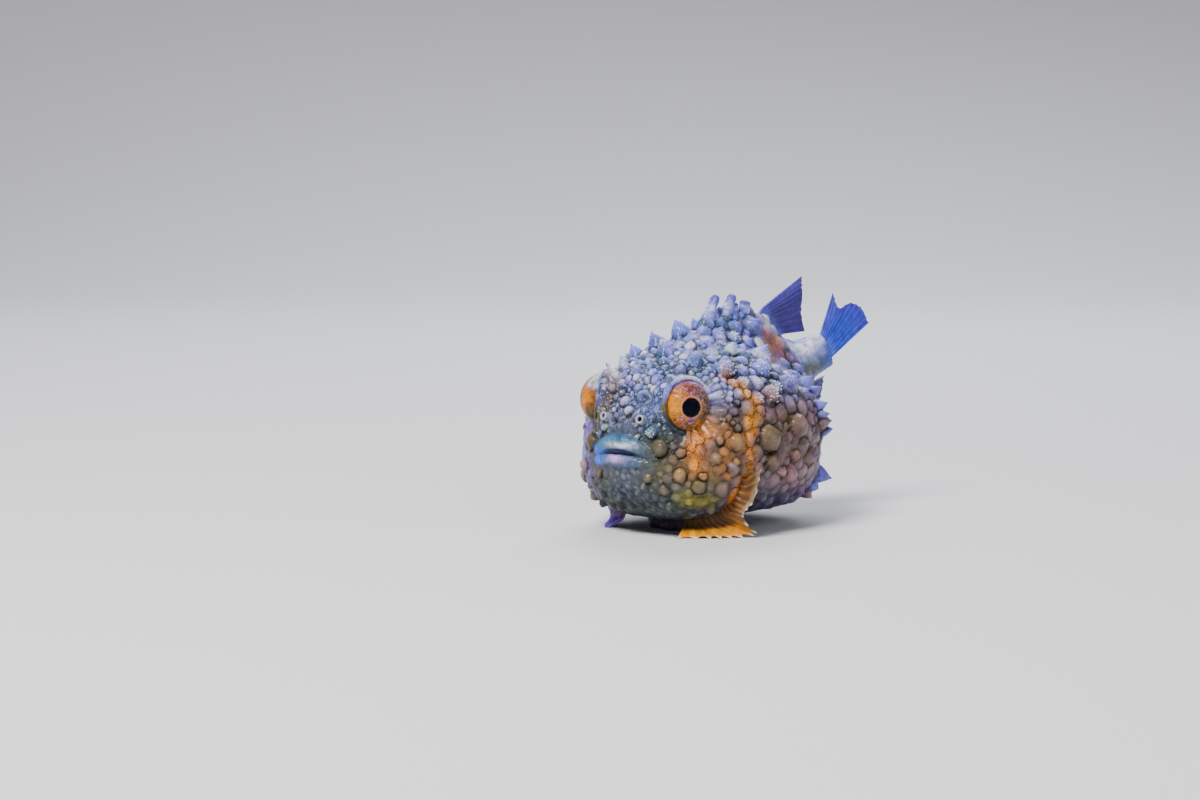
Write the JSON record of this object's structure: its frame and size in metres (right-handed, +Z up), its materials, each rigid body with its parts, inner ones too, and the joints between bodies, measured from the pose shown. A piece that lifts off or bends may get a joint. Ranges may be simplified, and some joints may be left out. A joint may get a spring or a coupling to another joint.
{
  "type": "spiny lumpsucker fish",
  "caption": "Life-size spiny lumpsucker perched on its sucker disc: globose body with knobbly skin, bulging eyes, thick lips, short rayed fins and a raised tail.",
  "frame": {"origin": "on the floor under the middle of the fish's bounding box", "axes": "+Z up, -Y the way the snout points, +X the fish's left flank"},
  "size_m": [0.037, 0.0608, 0.0396],
  "materials": {
    "skin": "mottled lavender, teal and orange-brown skin with a wet sheen",
    "lips": "smooth sky-blue skin with a wet sheen",
    "eye": "glossy orange iris under a clear cornea, blue-black pupil",
    "tail_fin": "translucent saturated blue rayed membrane",
    "back_fin": "translucent blue-violet rayed membrane",
    "breast_fin": "vivid orange-yellow rayed membrane",
    "sucker": "pale mauve fleshy pad"
  },
  "bodies": {
    "root": {"head": "skin", "torso": "skin", "tail": "skin", "eye_left": "eye", "eye_right": "eye", "lip_upper": "lips", "lip_lower": "lips", "caudal_fin": "tail_fin", "dorsal_fin_first": "skin", "dorsal_fin_second": "back_fin", "anal_fin": "back_fin", "pectoral_fin_left": "breast_fin", "pectoral_fin_right": "breast_fin", "sucker_disc": "sucker"}
  },
  "joints": []
}
